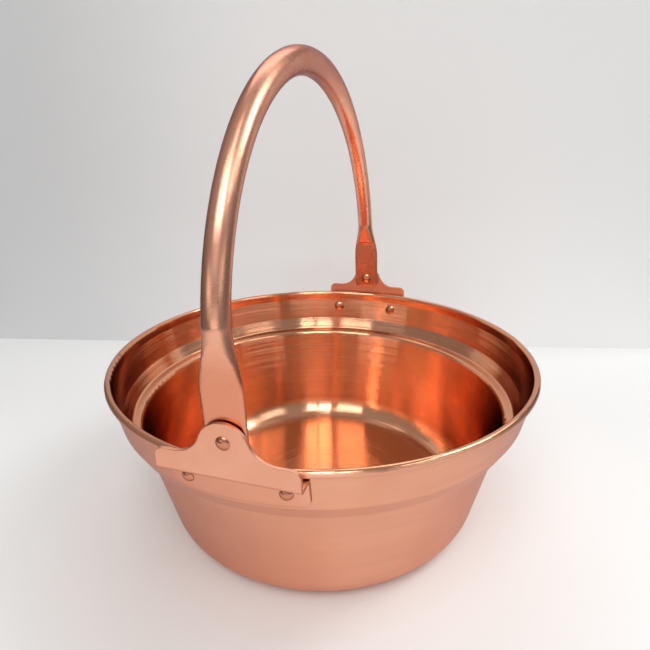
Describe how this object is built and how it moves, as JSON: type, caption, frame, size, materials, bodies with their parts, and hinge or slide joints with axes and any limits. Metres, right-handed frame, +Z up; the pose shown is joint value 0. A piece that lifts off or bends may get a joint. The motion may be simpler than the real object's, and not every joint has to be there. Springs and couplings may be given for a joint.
{
  "type": "cooking pot with bail handle",
  "caption": "Round flat-bottomed metal pot with tapered wall, narrow ledge, flared collar, rolled rim, pressed side brackets and a swinging arched tube handle.",
  "frame": {"origin": "centre of the flat base, on the surface that the pot stands on", "axes": "+Z up, +X towards the right handle bracket, with the handle's pivot axis along X at z = 0.1354 m. The resting handle leans 1.9 degrees from upright, towards -Y"},
  "size_m": [0.3116, 0.3, 0.3176],
  "materials": {
    "pot_copper": "satin copper, spun",
    "handle_copper": "satin copper tube",
    "bracket_copper": "satin copper sheet",
    "rivet_copper": "set copper rivet",
    "washer_copper": "satin copper sheet",
    "rim_wire_steel": "drawn wire, hidden in the rim"
  },
  "bodies": {
    "pot": {"pot_body": "pot_copper", "rim_wire": "rim_wire_steel", "handle_bracket_right": "bracket_copper", "handle_bracket_left": "bracket_copper", "bracket_rivets_right": "rivet_copper", "bracket_rivets_left": "rivet_copper", "pivot_rivet_right": "rivet_copper", "pivot_rivet_left": "rivet_copper", "pivot_washer_right": "washer_copper", "pivot_washer_left": "washer_copper"},
    "handle": {"bail_handle": "handle_copper"}
  },
  "joints": [
    {"name": "handle_swing", "type": "hinge", "parent": "pot", "child": "handle", "pos_m": [0, 0, 0.1354], "axis": [1, 0, 0], "range_deg": [-100, 96.2]}
  ]
}
